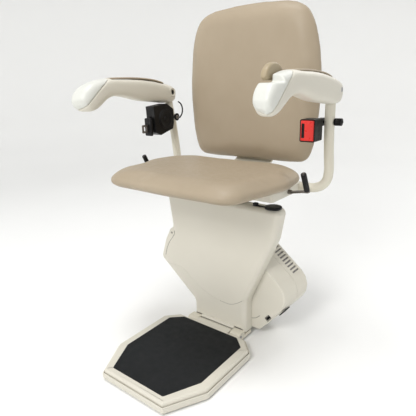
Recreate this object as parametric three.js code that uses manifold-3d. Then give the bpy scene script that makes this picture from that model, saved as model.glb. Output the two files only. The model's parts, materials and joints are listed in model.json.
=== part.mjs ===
// Stairlift chair: carriage, swivelling seat, folding arms and folding footrest.
// Millimetres. The chair faces -Y and +Z is up. Inside the file everything is laid out from the
// chair's datum: x = 0 is the seat's centre plane and z = 0 the top of the footrest mat. The
// exported group is moved so that the origin is the centre of the rail saddle's rear face.
import * as THREE from 'three';
import { mergeVertices } from 'three/addons/utils/BufferGeometryUtils.js';
import Module from 'manifold-3d';

const wasm = await Module();
wasm.setup();

// ---------- driving dimensions ----------
const DEG = Math.PI / 180;
const GAP = 0.3;

const RAIL_ANGLE = 40 * DEG;      // the rail falls towards +X
const SADDLE_Y = 60;              // rear face of the rail saddle
const SADDLE_Z = 120;
const COVER_FRONT_Y = -120;
const COVER_REAR_Y = -80;
const COVER_TOP_Z = 388;
const COVER_SPLIT_Z = 80;         // joint between the front cover and the column cover
const WALL = 4;

const SHELL_SEAM_Y = -30;
const SHELL_REAR_Y = 18;
const PINION = { s: 30, t: 92, radius: 20 };
const WORM = { t: 136, y: -27, radius: 9 };
const SWITCH = { s: 93, t: 129 };

const HINGE = { y: -142, z: -14 };          // footrest fold axis
const POST = { x: 0, y: -45 };              // seat swivel axis
const LATCH_Y = POST.y - 62;                // swivel latch pin
const SEAT_X = -12;                         // seat cushion's middle
const SEAT_HINGE = { y: 6, z: 444 };        // seat fold axis
const ARM_PIVOT = { y: 0, z: 686 };         // arm fold axis
const LEVER = { y: -52, z: 425 };           // swivel lever axis
const LEVER_GRIP = { x: 272, foot: [-104, 447], top: [-130, 497] };
const PADDLE = { y: -272, z: 716 };         // control paddle axis
const BELT_BOLT_Z = 607;

const BASE = { halfWidth: 195, front: -140, rear: 30, bottom: 414, top: 438 };
const TUBE_RADIUS = 13;
const TUBE_X = 272;
const ARM_X = 280;
const SLOT_X = 277;               // centre of the slot in an arm that takes its tube

// ---------- materials ----------
function paint(colour, roughness = 0.5, metalness = 0) {
  return new THREE.MeshStandardMaterial({ color: colour, roughness, metalness });
}
const cream = paint(0xd6d1c4, 0.45);
const creamLight = paint(0xe6e8e1, 0.4);
const tan = paint(0xb2a58c, 0.6);
const black = paint(0x151315, 0.5);
const matBlack = paint(0x26282a, 0.85);
const red = paint(0xe63732, 0.35);
const steel = paint(0x9a9c9e, 0.35, 1);
const zinc = paint(0x7d7873, 0.5, 1);
const alloy = paint(0xb9bcc0, 0.4, 1);
const brass = paint(0xb08d57, 0.35, 1);
const green = paint(0x2f6b45, 0.6);

// ---------- solids ----------
function toSolid(geometry) {
  const bare = geometry.clone();
  bare.deleteAttribute('normal');
  bare.deleteAttribute('uv');
  const merged = mergeVertices(bare, 1e-4);
  const mesh = new wasm.Mesh({
    numProp: 3,
    vertProperties: new Float32Array(merged.attributes.position.array),
    triVerts: new Uint32Array(merged.index.array),
  });
  return new wasm.Manifold(mesh);
}

function toGeometry(solid) {
  const mesh = solid.getMesh();
  const geometry = new THREE.BufferGeometry();
  geometry.setAttribute('position', new THREE.BufferAttribute(new Float32Array(mesh.vertProperties), 3));
  geometry.setIndex(new THREE.BufferAttribute(new Uint32Array(mesh.triVerts), 1));
  geometry.computeVertexNormals();
  return geometry;
}

function cut(geometry, ...tools) {
  return toGeometry(tools.reduce((solid, tool) => solid.subtract(toSolid(tool)), toSolid(geometry)));
}

function join(first, ...others) {
  return toGeometry(others.reduce((solid, other) => solid.add(toSolid(other)), toSolid(first)));
}

function common(first, second) {
  return toGeometry(toSolid(first).intersect(toSolid(second)));
}

// A box given by its low and high corners.
function block(low, high) {
  const size = high.map((value, axis) => value - low[axis]);
  const geometry = new THREE.BoxGeometry(...size);
  return geometry.translate(...low.map((value, axis) => value + size[axis] / 2));
}

// A round bar along one axis, from one end to the other.
function bar(axis, radius, from, to, a, b, sides = 16) {
  const geometry = new THREE.CylinderGeometry(radius, radius, to - from, sides);
  const middle = (from + to) / 2;
  if (axis === 'x') return geometry.rotateZ(90 * DEG).translate(middle, a, b);
  if (axis === 'y') return geometry.translate(a, middle, b);
  return geometry.rotateX(90 * DEG).translate(a, b, middle);
}

function ring(axis, outer, inner, from, to, a, b, sides = 24) {
  return cut(bar(axis, outer, from, to, a, b, sides), bar(axis, inner, from - 1, to + 1, a, b, sides));
}

// A closed outline from corner points [a, b, radius], with each corner rounded by an arc.
function outline(corners, stepsPerCorner = 5) {
  const points = [];
  corners.forEach(([a, b, radius], index) => {
    const here = new THREE.Vector2(a, b);
    const [pa, pb] = corners[(index + corners.length - 1) % corners.length];
    const [na, nb] = corners[(index + 1) % corners.length];
    const back = new THREE.Vector2(pa, pb).sub(here).normalize();
    const ahead = new THREE.Vector2(na, nb).sub(here).normalize();
    const half = Math.acos(THREE.MathUtils.clamp(back.dot(ahead), -1, 1)) / 2;
    if (!radius) {
      points.push(here);
      return;
    }
    const reach = radius / Math.tan(half);
    const centre = back.clone().add(ahead).normalize().multiplyScalar(radius / Math.sin(half)).add(here);
    const start = back.clone().multiplyScalar(reach).add(here).sub(centre);
    const end = ahead.clone().multiplyScalar(reach).add(here).sub(centre);
    const sweep = Math.atan2(start.cross(end), start.dot(end));
    for (let step = 0; step <= stepsPerCorner; step += 1) {
      points.push(start.clone().rotateAround(new THREE.Vector2(), (sweep * step) / stepsPerCorner).add(centre));
    }
  });
  return points;
}

// The outline moved inwards by a distance.
function inset(points, distance) {
  const turn = THREE.ShapeUtils.isClockWise(points) ? -1 : 1;
  return points.map((point, index) => {
    const before = points[(index + points.length - 1) % points.length];
    const after = points[(index + 1) % points.length];
    const a = point.clone().sub(before).normalize();
    const b = after.clone().sub(point).normalize();
    const normal = new THREE.Vector2(-(a.y + b.y), a.x + b.x).normalize().multiplyScalar(turn);
    const stretch = Math.max(0.5, Math.sqrt((1 + a.dot(b)) / 2));
    return normal.multiplyScalar(distance / stretch).add(point);
  });
}

// The outline scaled about its middle so that each side comes in by a distance.
function shrunk(points, distance) {
  const bounds = new THREE.Box2().setFromPoints(points);
  const middle = bounds.getCenter(new THREE.Vector2());
  const half = bounds.getSize(new THREE.Vector2()).multiplyScalar(0.5);
  const scale = new THREE.Vector2(1 - distance / half.x, 1 - distance / half.y);
  return points.map((point) => point.clone().sub(middle).multiply(scale).add(middle));
}

// An upright ring of points: the outline stands in the XZ plane at one y.
function upright(points, y) {
  return points.map((point) => new THREE.Vector3(point.x, y, point.y));
}

// A level ring of points: the outline lies in the XY plane at one z.
function level(points, z) {
  return points.map((point) => new THREE.Vector3(point.x, point.y, z));
}

// The sum of the cross products of a loop's points, which points along its normal.
function loopNormal(points) {
  const normal = new THREE.Vector3();
  points.forEach((point, i) => {
    normal.add(new THREE.Vector3().crossVectors(point, points[(i + 1) % points.length]));
  });
  return normal;
}

// Triangles that fill a flat loop, each turned the way the loop runs.
function capTriangles(points) {
  const normal = loopNormal(points);
  const size = normal.toArray().map(Math.abs);
  const drop = size.indexOf(Math.max(...size));
  const flat = points.map((point) => new THREE.Vector2(...point.toArray().filter((_, axis) => axis !== drop)));
  return THREE.ShapeUtils.triangulateShape(flat, []).map(([a, b, c]) => {
    const facing = new THREE.Vector3().crossVectors(
      points[b].clone().sub(points[a]),
      points[c].clone().sub(points[a]),
    );
    return facing.dot(normal) > 0 ? [a, b, c] : [a, c, b];
  });
}

// A closed skin through rings with equal numbers of points, with a flat cap on both end rings.
function loft(rings) {
  const count = rings[0].length;
  const positions = rings.flat().flatMap((point) => [point.x, point.y, point.z]);
  const index = [];
  rings.slice(1).forEach((_, step) => {
    for (let i = 0; i < count; i += 1) {
      const a = step * count + i;
      const b = step * count + ((i + 1) % count);
      index.push(a, b, b + count, a, b + count, a + count);
    }
  });
  const addCap = (ringIndex, flip) => {
    capTriangles(rings[ringIndex]).forEach(([a, b, c]) => {
      index.push(...(flip ? [a, c, b] : [a, b, c]).map((i) => ringIndex * count + i));
    });
  };
  addCap(0, true);
  addCap(rings.length - 1, false);
  const geometry = new THREE.BufferGeometry();
  geometry.setAttribute('position', new THREE.Float32BufferAttribute(positions, 3));
  geometry.setIndex(index);
  return outward(geometry);
}

// Turns every face over if the skin is inside out.
function outward(geometry) {
  const position = geometry.attributes.position;
  const index = geometry.index.array;
  const corner = [0, 1, 2].map(() => new THREE.Vector3());
  let volume = 0;
  for (let i = 0; i < index.length; i += 3) {
    corner.forEach((point, j) => point.fromBufferAttribute(position, index[i + j]));
    volume += corner[0].dot(corner[1].clone().cross(corner[2]));
  }
  if (volume < 0) {
    for (let i = 0; i < index.length; i += 3) [index[i + 1], index[i + 2]] = [index[i + 2], index[i + 1]];
  }
  geometry.computeVertexNormals();
  return geometry;
}

// A round rod bent along a smooth path of points.
function bentRod(points, radius, steps, sides) {
  const circle = new THREE.Shape();
  for (let i = 0; i < sides; i += 1) {
    const angle = (i / sides) * 2 * Math.PI;
    const at = [radius * Math.cos(angle), radius * Math.sin(angle)];
    if (i === 0) circle.moveTo(...at);
    else circle.lineTo(...at);
  }
  circle.closePath();
  const path = new THREE.CatmullRomCurve3(points.map((point) => new THREE.Vector3(...point)), false, 'centripetal');
  return new THREE.ExtrudeGeometry(circle, { steps, extrudePath: path, bevelEnabled: false, curveSegments: 1 });
}

const root = new THREE.Group();
const chair = new THREE.Group();
chair.position.set(0, -SADDLE_Y, -SADDLE_Z);
root.add(chair);
const rail = new THREE.Group();   // its local x runs down the rail, its local z stands off it
rail.rotation.y = RAIL_ANGLE;
chair.add(rail);

function add(parent, name, geometry, material) {
  const mesh = new THREE.Mesh(geometry, material);
  mesh.name = name;
  parent.add(mesh);
  return mesh;
}

// A point given along and off the rail, in the chair's x and z.
function fromRail(s, t) {
  return [s * Math.cos(RAIL_ANGLE) + t * Math.sin(RAIL_ANGLE), -s * Math.sin(RAIL_ANGLE) + t * Math.cos(RAIL_ANGLE)];
}

// ---------- carriage housing ----------
const HOUSING_LEFT = -296;
const HOUSING_FLOOR = -33;
const COVER_SLOPE_END = -98;

function housingOutline(right, top) {
  const floorMeetsLevel = (HOUSING_FLOOR * Math.cos(RAIL_ANGLE) + 12) / Math.sin(RAIL_ANGLE);
  const levelAtRight = (-12 + right * Math.sin(RAIL_ANGLE)) / Math.cos(RAIL_ANGLE);
  return outline([
    [HOUSING_LEFT, HOUSING_FLOOR, 30],
    [floorMeetsLevel, HOUSING_FLOOR, 12],
    [right, levelAtRight, 14],
    [right, top, 60],
    [-160, top, 30],
    [HOUSING_LEFT, 100, 24],
  ], 4);
}

const SPACERS = [[-112, 84], [-40, 96]];

function spacerHoles(y0, y1) {
  return SPACERS.map(([s, t]) => bar('y', 14.5, y0, y1, s, t));
}

function frontShell() {
  const front = housingOutline(103, 240);
  const seam = housingOutline(106, 257);
  const skin = loft([
    upright(inset(front, 6), COVER_REAR_Y + GAP),
    upright(inset(front, 1.5), COVER_REAR_Y + 2.5),
    upright(front, COVER_REAR_Y + 7),
    upright(seam, SHELL_SEAM_Y - GAP),
    upright(inset(seam, WALL), SHELL_SEAM_Y - GAP),
    upright(inset(front, WALL + 2), COVER_REAR_Y + WALL),
  ]);
  const switchHole = block([89, -90, SWITCH.t - 7], [97, -70, SWITCH.t + 7]);
  return cut(skin, ...spacerHoles(-90, -60), switchHole);
}

function rearShell() {
  const seam = housingOutline(106, 257);
  const rear = housingOutline(108, 272);
  const skin = loft([
    upright(inset(rear, WALL + 6), SHELL_REAR_Y - WALL),
    upright(inset(rear, WALL), SHELL_REAR_Y - 9),
    upright(inset(seam, WALL), SHELL_SEAM_Y + GAP),
    upright(seam, SHELL_SEAM_Y + GAP),
    upright(rear, SHELL_REAR_Y - 8),
    upright(inset(rear, 2.5), SHELL_REAR_Y - 2.5),
    upright(inset(rear, 8), SHELL_REAR_Y),
  ]);
  const vents = Array.from({ length: 9 }, (_, i) => block([-50 + i * 11, -18, 250], [-45 + i * 11, 6, 280]));
  const shaftHole = bar('y', 9, 0, 40, PINION.s, PINION.t);
  return cut(skin, ...spacerHoles(0, 40), shaftHole, ...vents);
}

const ROLLERS = [[-140, 178], [-14, 178], [-140, -16], [-14, -16]];

// Plate with four ears and roller axles, a pad that takes the rail, and two posts to the chassis.
function railSaddle() {
  const plate = block([-160, 22, -2], [8, 30, 162]);
  const pad = block([-137, 29, 42], [-17, SADDLE_Y, 142]);
  const posts = SPACERS.map(([s, t]) => bar('y', 14, -83.7, 25, s, t));
  const ears = ROLLERS.map(([s, t]) => block([s - 14, 22, t > 80 ? 150 : t - 10], [s + 14, 30, t > 80 ? t + 10 : 10]));
  const axles = ROLLERS.map(([s, t]) => bar('y', 4, 25, 57, s, t, 12));
  return join(plate, pad, ...posts, ...ears, ...axles);
}

function buildRailRunningGear() {
  add(rail, 'rail_saddle', railSaddle(), alloy);
  ROLLERS.forEach(([s, t], i) => {
    const profile = [[4.3, 33], [15, 33], [16, 34.5], [16, 51.5], [15, 53], [4.3, 53]];
    const points = [...profile, profile[0]].map(([radius, y]) => new THREE.Vector2(radius, y));
    add(rail, `guide_roller_${i + 1}`, new THREE.LatheGeometry(points, 14).translate(s, 0, t), black);
  });
}

// ---------- drive ----------
function gearGeometry(teeth, rootRadius, tipRadius, from, to) {
  const points = [];
  for (let i = 0; i < teeth; i += 1) {
    const at = (fraction) => ((i + fraction) / teeth) * 2 * Math.PI;
    [[0, rootRadius], [0.2, rootRadius], [0.38, tipRadius], [0.62, tipRadius], [0.8, rootRadius]]
      .forEach(([fraction, radius]) => {
        points.push(new THREE.Vector2(radius * Math.cos(at(fraction)), radius * Math.sin(at(fraction))));
      });
  }
  return loft([upright(points, from), upright(points, to)]);
}

function wormShaft() {
  const profile = [[0, -10.9], [5, -10.9], [5, 8]];
  for (let s = 8; s < 50; s += 8) profile.push([WORM.radius, s + 2.5], [WORM.radius, s + 4.5], [6.5, s + 7]);
  profile.push([5, 57], [5, 65], [0, 65]);
  const points = profile.map(([radius, s]) => new THREE.Vector2(radius, s));
  return new THREE.LatheGeometry(points, 14).rotateZ(-90 * DEG).translate(0, WORM.y, WORM.t);
}

function gearbox() {
  const body = block([-11, -55, 53], [71, 5, 166]);
  return cut(
    body,
    block([-6.5, -60, 57], [66.5, 0, 161]),
    bar('y', 6.5, -10, 20, PINION.s, PINION.t),
    bar('x', 6, -20, 3, WORM.y, WORM.t),
  );
}

function driveMotor() {
  const can = bar('x', 26, -124, -15, WORM.y, WORM.t);
  const flange = bar('x', 30, -16, -11.3, WORM.y, WORM.t);
  const rearCap = bar('x', 21, -132, -123, WORM.y, WORM.t);
  return join(can, flange, rearCap);
}

function battery(s0) {
  const case_ = block([s0, -73, -20], [s0 + 107, -4, 60]);
  const terminals = [s0 + 14, s0 + 88].map((s) => block([s, -60, 59], [s + 6, -50, 66]));
  return join(case_, ...terminals);
}

function controlBoard() {
  const board = block([-130, -58, 178], [60, -56, 236]);
  const parts = [[-120, 186, 30, 34, 14], [-80, 190, 24, 24, 10], [-40, 184, 16, 40, 18], [-10, 186, 30, 16, 9],
    [28, 190, 22, 30, 12]].map(([s, t, w, h, d]) => block([s, -56.5, t], [s + w, -56.5 + d, t + h]));
  return join(board, ...parts);
}

function buildDrive() {
  add(rail, 'gearbox_case', gearbox(), alloy);
  add(rail, 'drive_motor', driveMotor(), zinc);
  add(rail, 'worm_shaft', wormShaft(), steel);
  const wheel = cut(
    gearGeometry(24, 31.5, 34, -33, -21),
    bar('y', 6.1, -40, -10, 0, 0),
  ).translate(PINION.s, 0, PINION.t);
  add(rail, 'worm_wheel', wheel, brass);
  const pinion = join(gearGeometry(12, PINION.radius - 4, PINION.radius + 2, 34, 52), bar('y', 6, -48, 54, 0, 0));
  add(rail, 'drive_pinion', pinion.translate(PINION.s, 0, PINION.t), steel);
  add(rail, 'battery_upper', battery(-275), black);
  add(rail, 'battery_lower', battery(-163), black);
  add(rail, 'control_board', controlBoard(), green);
}

function buildSwitch() {
  const rocker = loft([-81, -72].map((y, i) => upright(outline([[-3.6, -6.4, 0], [3.6, -6.4, 0], [3.6, 6.4, 0],
    [-3.6, 6.4, 0]]).map((p) => p.multiplyScalar(i ? 0.8 : 1)), y)));
  add(rail, 'power_switch', join(rocker, bar('x', 2.5, -3.5, 3.5, -76, 0, 12)).translate(SWITCH.s, 0, SWITCH.t), black);
}

// ---------- covers ----------
const LOBE_END = -288;
const END_CAP_LEFT = -315;

function coverOutline() {
  const lobeTop = fromRail(LOBE_END, 92);
  const lobeCorner = fromRail(LOBE_END, HOUSING_FLOOR);
  const splitOnSlope = (HOUSING_FLOOR - COVER_SPLIT_Z * Math.cos(RAIL_ANGLE)) / Math.sin(RAIL_ANGLE);
  return outline([
    [-194, COVER_TOP_Z, 16],
    [-178, 284, 30],
    [...lobeTop, 8],
    [...lobeCorner, 34],
    [splitOnSlope, COVER_SPLIT_Z, 0],
    [88, COVER_SPLIT_Z, 0],
    [190, 300, 90],
    [206, COVER_TOP_Z, 16],
  ]);
}

// A tray open to the rear, with the passage that the chassis plate takes between the two covers.
function cup(points, front, rear, round) {
  const tray = loft([
    upright(inset(points, round), front),
    upright(inset(points, round * 0.3), front + round * 0.3),
    upright(points, front + round),
    upright(points, rear),
    upright(inset(points, WALL), rear),
    upright(inset(points, WALL + round * 0.6), front + WALL),
  ]);
  return cut(tray, block([-112, -114, COVER_SPLIT_Z - 8], [82, -70, COVER_SPLIT_Z + 8]));
}

function columnOutline() {
  const top = COVER_SPLIT_Z - 0.6;
  const slope = (z) => (HOUSING_FLOOR - z * Math.cos(RAIL_ANGLE)) / Math.sin(RAIL_ANGLE);
  return outline([
    [slope(top), top, 0],
    [COVER_SLOPE_END, 40, 10],
    [COVER_SLOPE_END, -16, 0],
    [98, -16, 0],
    [98, 60, 30],
    [88, top, 0],
  ]);
}

function endCap() {
  const points = outline([[-301, -29, 9], [-286, -32, 0], [-286, 88, 0], [END_CAP_LEFT, 78, 12]]);
  const whole = loft([
    upright(inset(points, 5), -117),
    upright(inset(points, 1.5), -113),
    upright(points, -107),
    upright(points, -26),
    upright(inset(points, 4), -20),
  ]);
  return cut(whole, block([HOUSING_LEFT - 0.4, -80.4, -60], [-200, 0, 120]), block([-288.4, -130, -60], [-200, 0, 120]));
}

function chassisPlate() {
  const points = outline([
    [-170, 370, 0], [-160, 290, 0], [-148, 256, 0], [-176, 214, 0], [-196, 192, 0], [-78, 66, 0], [-78, -26.3, 0],
    [78, -26.3, 0], [78, 92, 0], [160, 290, 0], [170, 370, 0],
  ]);
  const slab = loft([upright(points, -90), upright(points, -84)]);
  const windows = [[0, 150, 34], [-60, 190, 26], [50, 230, 24], [0, 30, 20]]
    .map(([x, z, radius]) => bar('y', radius, -100, -70, x, z));
  return cut(slab, ...windows);
}

function buildCovers() {
  add(chair, 'chassis_plate', chassisPlate(), steel);
  add(rail, 'rear_shell', rearShell(), cream);
  add(rail, 'front_shell', frontShell(), cream);
  add(chair, 'front_cover', cup(coverOutline(), COVER_FRONT_Y, COVER_REAR_Y - GAP, 14), cream);
  const column = cup(columnOutline(), COVER_FRONT_Y + 1, COVER_REAR_Y - GAP, 8);
  add(chair, 'column_cover', cut(column, block([-82, -113, -30], [82, -70, -8])), cream);
  add(rail, 'end_cap', endCap(), cream);
  add(rail, 'end_buffer', block([105.8, -74, 164], [109, -42, 190]), black);
  add(rail, 'cover_screw', bar('y', 3.2, -119, -117.3, -299, 75, 12), zinc);
}

// ---------- footrest ----------
// Half outlines, rear to front; the other half mirrors them.
const PLATE_HALF = [[122, -157], [161, -196], [161, -384], [106, -485]];
const MAT_HALF = [[101, -167], [135.5, -198], [135.5, -375], [90.6, -466.5]];

function eightSided(half) {
  const right = half.map(([x, y]) => new THREE.Vector2(x, y));
  const left = half.map(([x, y]) => new THREE.Vector2(-x, y)).reverse();
  return [...right, ...left];
}

function buildFootrest() {
  const rim = eightSided(PLATE_HALF);
  const slab = loft([
    level(inset(rim, 4), -19),
    level(inset(rim, 2), -17),
    level(inset(rim, 1.5), -11),
    level(inset(rim, 6), -5.5),
    level(inset(rim, 20), -3),
  ]);
  const tab = block([-61, -162, -18.5], [61, -140, -4.5]);
  const barrel = bar('x', 9.5, -61, 61, HINGE.y, HINGE.z);
  const bore = bar('x', 5.4, -70, 70, HINGE.y, HINGE.z);
  add(chair, 'footrest_plate', cut(join(slab, tab, barrel), bore), cream);

  const mat = eightSided(MAT_HALF);
  add(chair, 'footrest_mat', loft([level(mat, -2.7), level(mat, -0.8), level(inset(mat, 1.2), 0)]), matBlack);

  const pan = loft([
    level(inset(rim, 5), -31),
    level(inset(rim, -2), -28.5),
    level(inset(rim, -3), -24),
    level(inset(rim, -3), -11),
    level(rim, -11),
    level(rim, -24),
    level(inset(rim, 6), -28),
  ]);
  add(chair, 'safety_pan', cut(pan, block([-63, -162, -23.5], [63, -150, 0])), cream);

  const ear = (x0, x1) => join(
    bar('x', 11, x0, x1, HINGE.y, HINGE.z),
    block([x0, HINGE.y, -25], [x1, -120.4, -3.5]),
    block([x0, -125, -26], [x1, -84, -17]),
  );
  const bracket = join(ear(-98, -63), ear(63, 98), block([-98, -112, -26], [98, -91, -17]));
  const pinBore = bar('x', 5.3, -100, 100, HINGE.y, HINGE.z);
  add(chair, 'footrest_bracket', cut(bracket, pinBore, block([-80, -90.4, -40], [80, -83.6, 0])), cream);
  add(chair, 'footrest_pin', bar('x', 5, -99, 99, HINGE.y, HINGE.z), steel);
}

// ---------- seat post and swivel ----------
function buildSwivel() {
  const post = join(
    block([-60, -83.6, 322], [60, -14, 366]),
    bar('z', 23, 340, 404, POST.x, POST.y, 28),
    bar('z', 16, 400, 432, POST.x, POST.y, 28),
  );
  add(chair, 'seat_post', post, steel);
  const notches = [-90, -45, 0, 45, 90].map((angle) => {
    const at = (angle - 90) * DEG;
    return bar('z', 5.5, 390, 410, POST.x + 62 * Math.cos(at), POST.y + 62 * Math.sin(at), 10);
  });
  add(chair, 'latch_plate', cut(ring('z', 74, 23.3, 396, 401, POST.x, POST.y, 32), ...notches), zinc);
  add(chair, 'swivel_bearing', ring('z', 46, 24, 404.3, 411.7, POST.x, POST.y, 32), black);
  add(chair, 'swivel_pads', join(
    bar('z', 23, COVER_TOP_Z + GAP, 400, 180, -103, 28),
    block([118, -110, COVER_TOP_Z + GAP], [170, -100, 391]),
    block([118, -112, COVER_TOP_Z + GAP], [132, -98, 402]),
  ), black);
  add(chair, 'swivel_hub', join(
    ring('z', 50, 16.4, 412, 418, POST.x, POST.y, 32),
    ring('z', 30, 16.4, 417, BASE.top - WALL - GAP, POST.x, POST.y, 32),
  ), alloy);
  add(chair, 'latch_pin', join(
    bar('z', 4.8, 401.5, 424, POST.x, LATCH_Y, 12),
    bar('z', 8, 420, 424, POST.x, LATCH_Y, 12),
  ), steel);
}

// ---------- seat frame ----------
function seatBase() {
  const w = BASE.halfWidth;
  const tray = outline([[-w, BASE.rear, 8], [-w, BASE.front, 8], [w, BASE.front, 8], [w, BASE.rear, 8]], 3);
  const shell = loft([
    level(tray, BASE.bottom), level(tray, BASE.top - 2), level(inset(tray, 2), BASE.top),
  ]);
  const inside = loft([level(inset(tray, WALL), BASE.bottom - 1), level(inset(tray, WALL), BASE.top - WALL)]);
  const ears = [-138, -119, 119, 138].map((x) => join(
    block([x - 4, -6, BASE.top - 2], [x + 4, 18, SEAT_HINGE.z]),
    bar('x', 7.2, x - 4, x + 4, SEAT_HINGE.y, SEAT_HINGE.z, 12),
  ));
  const hollow = cut(shell, inside, bar('x', 6.4, -300, 300, LEVER.y, LEVER.z));
  const pinGuide = block([-14, BASE.front + 2, BASE.bottom], [14, LATCH_Y + 10, BASE.bottom + 3.5]);
  return cut(
    join(hollow, pinGuide, ...ears),
    bar('x', 4.2, -150, 150, SEAT_HINGE.y, SEAT_HINGE.z, 12),
    bar('z', 5.2, 400, BASE.bottom + 6, POST.x, LATCH_Y),
  );
}

function armTube(side) {
  const points = [
    [side * (BASE.halfWidth + 0.4), 18, 426], [side * 215, 18, 426], [side * 238, 19, 427],
    [side * 258, 22, 436], [side * 269, 25, 452], [side * TUBE_X, 27, 474], [side * TUBE_X, 20, 530],
    [side * (TUBE_X + 1), 12, 590],
    [side * (SLOT_X - 1), 4, 640], [side * SLOT_X, 1, 665], [side * SLOT_X, 0.3, 684],
  ];
  const tube = bentRod(points, TUBE_RADIUS, 18, 12);
  const x0 = side * SLOT_X - 13.6;
  const barrel = bar('x', 13, x0, x0 + 27.2, ARM_PIVOT.y, ARM_PIVOT.z, 20);
  const bore = bar('x', 6.3, -400, 400, ARM_PIVOT.y, ARM_PIVOT.z, 20);
  const boltHole = bar('x', 4.3, side * TUBE_X - 20, side * TUBE_X + 20, 10, BELT_BOLT_Z, 16);
  return cut(join(tube, barrel), bore, boltHole);
}

function backBracket() {
  const line = [[30.5, 426], [46, 426], [53, 433], [53, 458], [59, 466], [78, 468], [90, 476], [92, 500], [92, 660]];
  const half = 3.5;
  const offset = (sign) => line.map(([y, z], i) => {
    const [y0, z0] = line[Math.max(i - 1, 0)];
    const [y1, z1] = line[Math.min(i + 1, line.length - 1)];
    const length = Math.hypot(y1 - y0, z1 - z0);
    return [y - (sign * half * (z1 - z0)) / length, z + (sign * half * (y1 - y0)) / length];
  });
  const loop = [...offset(1), ...offset(-1).reverse()];
  const side = (x) => loop.map(([y, z]) => new THREE.Vector3(x, y, z));
  return loft([side(-66), side(66)]);
}

function buildSeatFrame() {
  add(chair, 'seat_base', seatBase(), cream);
  add(chair, 'arm_tube_left', armTube(-1), cream);
  add(chair, 'arm_tube_right', armTube(1), cream);
  add(chair, 'back_bracket', backBracket(), cream);
  add(chair, 'seat_hinge_rod', bar('x', 4, -144, 144, SEAT_HINGE.y, SEAT_HINGE.z), steel);
}

// ---------- seat and back ----------
function seatOutline() {
  const half = [[224, 14, 96], [246, -130, 0], [206, -326, 58]];
  const left = half.map(([x, y, radius]) => [SEAT_X - x, y, radius]);
  const right = half.map(([x, y, radius]) => [SEAT_X + x, y, radius]).reverse();
  return outline([...left, [SEAT_X, -334, 0], ...right], 6);
}

function backOutline() {
  return outline([
    [-184, 486, 36], [-211, 545, 0], [-220, 700, 0], [-203, 845, 0], [-174, 905, 50], [0, 920, 0],
    [174, 905, 50], [203, 845, 0], [220, 700, 0], [211, 545, 0], [184, 486, 36],
  ], 5);
}

function buildSeatAndBack() {
  const seat = seatOutline();
  add(chair, 'seat_cushion', loft([
    level(shrunk(seat, 8), 452), level(seat, 459), level(seat, 470), level(shrunk(seat, 6), 478),
    level(shrunk(seat, 26), 483),
  ]), tan);
  const under = shrunk(seat, 28);
  const slab = loft([level(under, SEAT_HINGE.z - 2), level(under, 451.7)]);
  const lugs = [-128.5, 128.5].map((x) => join(
    block([x - 4.8, -30, SEAT_HINGE.z - 2], [x + 4.8, SEAT_HINGE.y, 451.7]),
    bar('x', 5.6, x - 4.8, x + 4.8, SEAT_HINGE.y, SEAT_HINGE.z),
  ));
  const bores = [-128.5, 128.5].map((x) => bar('x', 4.3, x - 9, x + 9, SEAT_HINGE.y, SEAT_HINGE.z));
  const trimmed = cut(slab, block([-300, -10, 430], [300, 60, 470]));
  add(chair, 'seat_board', cut(join(trimmed, ...lugs), ...bores), black);

  const back = backOutline();
  add(chair, 'back_cushion', loft([
    upright(shrunk(back, 40), 42), upright(shrunk(back, 12), 48), upright(back, 60), upright(back, 74),
    upright(shrunk(back, 5), 80),
  ]), tan);
  add(chair, 'back_board', loft([
    upright(shrunk(back, 10), 80.4), upright(shrunk(back, 10), 85), upright(shrunk(back, 16), 88),
  ]), cream);
}

// ---------- arms ----------
// Side profile of an arm as pairs of points [y, z] on its upper and lower edge, rear to front.
const ARM_PROFILE = [
  [[22, 699], [18, 658]], [[8, 706], [4, 653]], [[-20, 713], [-22, 653]], [[-60, 721], [-60, 657]],
  [[-130, 729], [-130, 665]], [[-200, 731], [-195, 679]], [[-245, 732], [-232, 682]], [[-285, 726], [-258, 675]],
  [[-320, 711], [-282, 662]], [[-346, 692], [-304, 650]], [[-359, 673], [-325, 645]], [[-357, 660], [-340, 647]],
];
const ARM_HALF_WIDTHS = [20, 24, 26, 26, 26, 26, 26, 26, 26, 24, 18, 9];

function armBody(centre) {
  const rings = ARM_PROFILE.map(([upper, lower], i) => {
    const points = [];
    for (let step = 0; step < 16; step += 1) {
      const angle = ((step + 0.5) / 16) * 2 * Math.PI;
      const bulge = (value) => Math.sign(value) * Math.abs(value) ** 0.6;
      const across = bulge(Math.cos(angle)) * ARM_HALF_WIDTHS[i];
      const up = (bulge(Math.sin(angle)) + 1) / 2;
      points.push(new THREE.Vector3(
        centre + across,
        lower[0] + (upper[0] - lower[0]) * up,
        lower[1] + (upper[1] - lower[1]) * up,
      ));
    }
    return points;
  });
  return loft(rings);
}

// A thick slab in front of the sloping line where the front fascia meets the arm.
function fasciaSide(centre, gap) {
  const line = [[-246 - gap, 760], [-252 - gap, 728], [-300 - gap, 692], [-352 - gap, 640]];
  const loop = [...line, [-420, 640], [-420, 760]];
  const side = (x) => loop.map(([y, z]) => new THREE.Vector3(x, y, z));
  return loft([side(centre - 60), side(centre + 60)]);
}

// The control notch takes the top off the arm's front end and off its inner half behind that.
function notch(centre) {
  return join(
    block([centre - 60, -420, 708], [centre + 60, -296, 760]),
    block([centre - 60, -300, 708], [centre - 4, PADDLE.y + 41, 760]),
  );
}

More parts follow.
